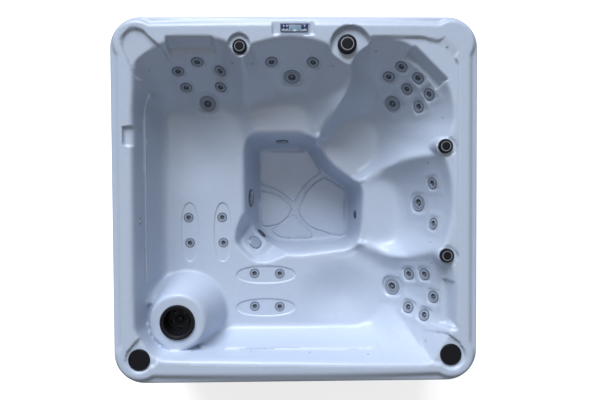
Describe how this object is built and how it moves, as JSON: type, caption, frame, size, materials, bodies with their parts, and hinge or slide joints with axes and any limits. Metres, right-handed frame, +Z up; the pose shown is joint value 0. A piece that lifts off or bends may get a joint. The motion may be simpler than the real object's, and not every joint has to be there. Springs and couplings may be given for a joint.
{
  "type": "hot tub",
  "caption": "Square hot tub: a moulded acrylic shell with loungers, seats, turning jets and valves, over a panelled cabinet with a lift-out filter and pump bay.",
  "frame": {"origin": "bottom centre of the base pan, on the ground", "axes": "+Z up; +Y towards the side with the topside control and the access panel; +X towards the side with two air controls"},
  "size_m": [2.1294, 2.1295, 0.904],
  "materials": {
    "acrylic": "thermoformed acrylic, pale blue grey, glossy",
    "jet_grey": "moulded grey plastic, satin",
    "valve_black": "moulded black plastic, satin gloss",
    "cover_black": "moulded black plastic, matt",
    "fitting_pale": "moulded pale blue grey plastic",
    "lens": "clear moulded lens over a pale reflector",
    "control_navy": "membrane keypad, dark blue with a pale display",
    "filter_black": "moulded black plastic",
    "pleats": "white pleated filter fabric",
    "base_black": "vacuum formed black plastic",
    "frame_charcoal": "moulded charcoal plastic",
    "panel_charcoal": "grooved charcoal composite board",
    "pump_black": "black painted casting",
    "pack_charcoal": "moulded charcoal casing",
    "pipe_white": "white rigid plastic pipe",
    "foam": "dense cream foam block"
  },
  "bodies": {
    "root": {"back_panel": "panel_charcoal", "base_pan": "base_black", "circulation_pump": "pump_black", "filter_housing": "filter_black", "footwell_support_block": "foam", "frame": "frame_charcoal", "heater_control_pack": "pack_charcoal", "heater_feed_pipe": "pipe_white", "left_panel": "panel_charcoal", "light_lens": "lens", "return_fitting_right": "fitting_pale", "right_panel": "panel_charcoal", "shell": "acrylic", "speaker_cover_left": "cover_black", "speaker_cover_right": "cover_black", "suction_cover_back": "fitting_pale", "suction_cover_left": "fitting_pale", "suction_pipe": "pipe_white", "topside_control": "control_navy", "water_manifold": "pipe_white"},
    "filter_insert": {"filter_basket": "filter_black", "filter_cartridge": "pleats"},
    "access_panel": {"access_panel": "panel_charcoal"},
    "diverter_handle": {"diverter_handle": "valve_black"},
    "air_control_knob_1": {"air_control_knob_1": "valve_black"},
    "air_control_knob_2": {"air_control_knob_2": "valve_black"},
    "air_control_knob_3": {"air_control_knob_3": "valve_black"},
    "left_back_jet_1": {"left_back_jet_1": "jet_grey"},
    "left_back_jet_2": {"left_back_jet_2": "jet_grey"},
    "left_back_jet_3": {"left_back_jet_3": "jet_grey"},
    "left_back_jet_4": {"left_back_jet_4": "jet_grey"},
    "left_back_jet_5": {"left_back_jet_5": "jet_grey"},
    "left_back_jet_6": {"left_back_jet_6": "jet_grey"},
    "centre_back_jet_1": {"centre_back_jet_1": "jet_grey"},
    "centre_back_jet_2": {"centre_back_jet_2": "jet_grey"},
    "centre_back_jet_3": {"centre_back_jet_3": "jet_grey"},
    "corner_back_jet_1": {"corner_back_jet_1": "jet_grey"},
    "corner_back_jet_2": {"corner_back_jet_2": "jet_grey"},
    "corner_back_jet_3": {"corner_back_jet_3": "jet_grey"},
    "corner_back_jet_4": {"corner_back_jet_4": "jet_grey"},
    "corner_back_jet_5": {"corner_back_jet_5": "jet_grey"},
    "corner_back_jet_6": {"corner_back_jet_6": "jet_grey"},
    "corner_back_jet_7": {"corner_back_jet_7": "jet_grey"},
    "side_back_jet_1": {"side_back_jet_1": "jet_grey"},
    "side_back_jet_2": {"side_back_jet_2": "jet_grey"},
    "side_back_jet_3": {"side_back_jet_3": "jet_grey"},
    "right_back_jet_1": {"right_back_jet_1": "jet_grey"},
    "right_back_jet_2": {"right_back_jet_2": "jet_grey"},
    "right_back_jet_3": {"right_back_jet_3": "jet_grey"},
    "right_back_jet_4": {"right_back_jet_4": "jet_grey"},
    "right_back_jet_5": {"right_back_jet_5": "jet_grey"},
    "right_back_jet_6": {"right_back_jet_6": "jet_grey"},
    "left_calf_jet_1": {"left_calf_jet_1": "jet_grey"},
    "left_calf_jet_2": {"left_calf_jet_2": "jet_grey"},
    "left_calf_jet_3": {"left_calf_jet_3": "jet_grey"},
    "left_calf_jet_4": {"left_calf_jet_4": "jet_grey"},
    "right_calf_jet_1": {"right_calf_jet_1": "jet_grey"},
    "right_calf_jet_2": {"right_calf_jet_2": "jet_grey"},
    "right_calf_jet_3": {"right_calf_jet_3": "jet_grey"},
    "right_calf_jet_4": {"right_calf_jet_4": "jet_grey"}
  },
  "joints": [
    {"name": "filter_lift", "type": "slide", "parent": "root", "child": "filter_insert", "axis": [0, 0, 1], "range_m": [0, 0.34]},
    {"name": "access_panel_slide", "type": "slide", "parent": "root", "child": "access_panel", "axis": [0, 1, 0], "range_m": [0, 0.2]},
    {"name": "diverter_turn", "type": "hinge", "parent": "root", "child": "diverter_handle", "pos_m": [0.30246, 0.90312, 0.87], "axis": [0, 0, 1], "range_deg": [-90, 90]},
    {"name": "air_control_1_turn", "type": "hinge", "parent": "root", "child": "air_control_knob_1", "pos_m": [-0.31737, 0.88821, 0.882], "axis": [0, 0, 1], "range_deg": [0, 180]},
    {"name": "air_control_2_turn", "type": "hinge", "parent": "root", "child": "air_control_knob_2", "pos_m": [0.87224, 0.31311, 0.882], "axis": [0, 0, 1], "range_deg": [0, 180]},
    {"name": "air_control_3_turn", "type": "hinge", "parent": "root", "child": "air_control_knob_3", "pos_m": [0.88076, -0.32376, 0.882], "axis": [0, 0, 1], "range_deg": [0, 180]},
    {"name": "left_back_jet_1_turn", "type": "hinge", "parent": "root", "child": "left_back_jet_1", "pos_m": [-0.58575, 0.83496, 0.74816], "axis": [0.0492, -0.8264, 0.5609], "range_deg": [0, 90]},
    {"name": "left_back_jet_2_turn", "type": "hinge", "parent": "root", "child": "left_back_jet_2", "pos_m": [-0.71142, 0.78917, 0.70218], "axis": [0.128, -0.8243, 0.5515], "range_deg": [0, 90]},
    {"name": "left_back_jet_3_turn", "type": "hinge", "parent": "root", "child": "left_back_jet_3", "pos_m": [-0.45476, 0.79236, 0.69828], "axis": [-0.3831, -0.6901, 0.6141], "range_deg": [0, 90]},
    {"name": "left_back_jet_4_turn", "type": "hinge", "parent": "root", "child": "left_back_jet_4", "pos_m": [-0.6848, 0.71249, 0.59245], "axis": [0.0621, -0.778, 0.6252], "range_deg": [0, 90]},
    {"name": "left_back_jet_5_turn", "type": "hinge", "parent": "root", "child": "left_back_jet_5", "pos_m": [-0.46647, 0.71249, 0.6021], "axis": [-0.2622, -0.7279, 0.6336], "range_deg": [0, 90]},
    {"name": "left_back_jet_6_turn", "type": "hinge", "parent": "root", "child": "left_back_jet_6", "pos_m": [-0.56445, 0.62515, 0.50235], "axis": [-0.019, -0.509, 0.8606], "range_deg": [0, 90]},
    {"name": "centre_back_jet_1_turn", "type": "hinge", "parent": "root", "child": "centre_back_jet_1", "pos_m": [-0.13951, 0.83283, 0.75754], "axis": [0.1424, -0.8096, 0.5694], "range_deg": [0, 90]},
    {"name": "centre_back_jet_2_turn", "type": "hinge", "parent": "root", "child": "centre_back_jet_2", "pos_m": [0.1097, 0.82857, 0.76546], "axis": [-0.2318, -0.7762, 0.5863], "range_deg": [0, 90]},
    {"name": "centre_back_jet_3_turn", "type": "hinge", "parent": "root", "child": "centre_back_jet_3", "pos_m": [-0.01704, 0.7636, 0.65517], "axis": [-0.0289, -0.7662, 0.642], "range_deg": [0, 90]},
    {"name": "corner_back_jet_1_turn", "type": "hinge", "parent": "root", "child": "corner_back_jet_1", "pos_m": [0.64219, 0.80194, 0.76435], "axis": [-0.4438, -0.6825, 0.5808], "range_deg": [0, 90]},
    {"name": "corner_back_jet_2_turn", "type": "hinge", "parent": "root", "child": "corner_back_jet_2", "pos_m": [0.58255, 0.76148, 0.67746], "axis": [-0.3295, -0.7196, 0.6112], "range_deg": [0, 90]},
    {"name": "corner_back_jet_3_turn", "type": "hinge", "parent": "root", "child": "corner_back_jet_3", "pos_m": [0.73911, 0.73166, 0.77793], "axis": [-0.5979, -0.5633, 0.5702], "range_deg": [0, 90]},
    {"name": "corner_back_jet_4_turn", "type": "hinge", "parent": "root", "child": "corner_back_jet_4", "pos_m": [0.69332, 0.68373, 0.68606], "axis": [-0.583, -0.5469, 0.6009], "range_deg": [0, 90]},
    {"name": "corner_back_jet_5_turn", "type": "hinge", "parent": "root", "child": "corner_back_jet_5", "pos_m": [0.80727, 0.63581, 0.7725], "axis": [-0.7231, -0.3896, 0.5704], "range_deg": [0, 90]},
    {"name": "corner_back_jet_6_turn", "type": "hinge", "parent": "root", "child": "corner_back_jet_6", "pos_m": [0.7668, 0.57617, 0.68678], "axis": [-0.7515, -0.2835, 0.5957], "range_deg": [0, 90]},
    {"name": "corner_back_jet_7_turn", "type": "hinge", "parent": "root", "child": "corner_back_jet_7", "pos_m": [0.62835, 0.61238, 0.56712], "axis": [-0.5524, -0.506, 0.6624], "range_deg": [0, 90]},
    {"name": "side_back_jet_1_turn", "type": "hinge", "parent": "root", "child": "side_back_jet_1", "pos_m": [0.83602, 0.10118, 0.74388], "axis": [-0.8692, -0.2004, 0.452], "range_deg": [0, 90]},
    {"name": "side_back_jet_2_turn", "type": "hinge", "parent": "root", "child": "side_back_jet_2", "pos_m": [0.84135, -0.14591, 0.74998], "axis": [-0.9055, 0.1532, 0.3957], "range_deg": [0, 90]},
    {"name": "side_back_jet_3_turn", "type": "hinge", "parent": "root", "child": "side_back_jet_3", "pos_m": [0.78384, -0.02343, 0.61581], "axis": [-0.8694, -0.0389, 0.4926], "range_deg": [0, 90]},
    {"name": "right_back_jet_1_turn", "type": "hinge", "parent": "root", "child": "right_back_jet_1", "pos_m": [0.72101, -0.47499, 0.62277], "axis": [-0.7395, -0.1261, 0.6612], "range_deg": [0, 90]},
    {"name": "right_back_jet_2_turn", "type": "hinge", "parent": "root", "child": "right_back_jet_2", "pos_m": [0.79662, -0.46115, 0.71639], "axis": [-0.781, -0.1263, 0.6116], "range_deg": [0, 90]},
    {"name": "right_back_jet_3_turn", "type": "hinge", "parent": "root", "child": "right_back_jet_3", "pos_m": [0.83922, -0.59214, 0.75982], "axis": [-0.8046, 0.0128, 0.5937], "range_deg": [0, 90]},
    {"name": "right_back_jet_4_turn", "type": "hinge", "parent": "root", "child": "right_back_jet_4", "pos_m": [0.71781, -0.68799, 0.62209], "axis": [-0.7147, 0.2367, 0.6582], "range_deg": [0, 90]},
    {"name": "right_back_jet_5_turn", "type": "hinge", "parent": "root", "child": "right_back_jet_5", "pos_m": [0.79343, -0.71355, 0.72092], "axis": [-0.7414, 0.295, 0.6027], "range_deg": [0, 90]},
    {"name": "right_back_jet_6_turn", "type": "hinge", "parent": "root", "child": "right_back_jet_6", "pos_m": [0.63261, -0.57191, 0.52508], "axis": [-0.6265, -0.0126, 0.7793], "range_deg": [0, 90]},
    {"name": "left_calf_jet_1_turn", "type": "hinge", "parent": "root", "child": "left_calf_jet_1", "pos_m": [-0.70077, -0.11715, 0.484], "axis": [0, 0, 1], "range_deg": [0, 90]},
    {"name": "left_calf_jet_2_turn", "type": "hinge", "parent": "root", "child": "left_calf_jet_2", "pos_m": [-0.69332, -0.28329, 0.484], "axis": [0, 0, 1], "range_deg": [0, 90]},
    {"name": "left_calf_jet_3_turn", "type": "hinge", "parent": "root", "child": "left_calf_jet_3", "pos_m": [-0.48031, -0.11609, 0.484], "axis": [0, 0, 1], "range_deg": [0, 90]},
    {"name": "left_calf_jet_4_turn", "type": "hinge", "parent": "root", "child": "left_calf_jet_4", "pos_m": [-0.47392, -0.28329, 0.484], "axis": [0, 0, 1], "range_deg": [0, 90]},
    {"name": "right_calf_jet_1_turn", "type": "hinge", "parent": "root", "child": "right_calf_jet_1", "pos_m": [-0.27051, -0.48777, 0.484], "axis": [0, 0, 1], "range_deg": [0, 90]},
    {"name": "right_calf_jet_2_turn", "type": "hinge", "parent": "root", "child": "right_calf_jet_2", "pos_m": [-0.10437, -0.49097, 0.484], "axis": [0, 0, 1], "range_deg": [0, 90]},
    {"name": "right_calf_jet_3_turn", "type": "hinge", "parent": "root", "child": "right_calf_jet_3", "pos_m": [-0.27051, -0.70609, 0.484], "axis": [0, 0, 1], "range_deg": [0, 90]},
    {"name": "right_calf_jet_4_turn", "type": "hinge", "parent": "root", "child": "right_calf_jet_4", "pos_m": [-0.10543, -0.71035, 0.484], "axis": [0, 0, 1], "range_deg": [0, 90]}
  ]
}
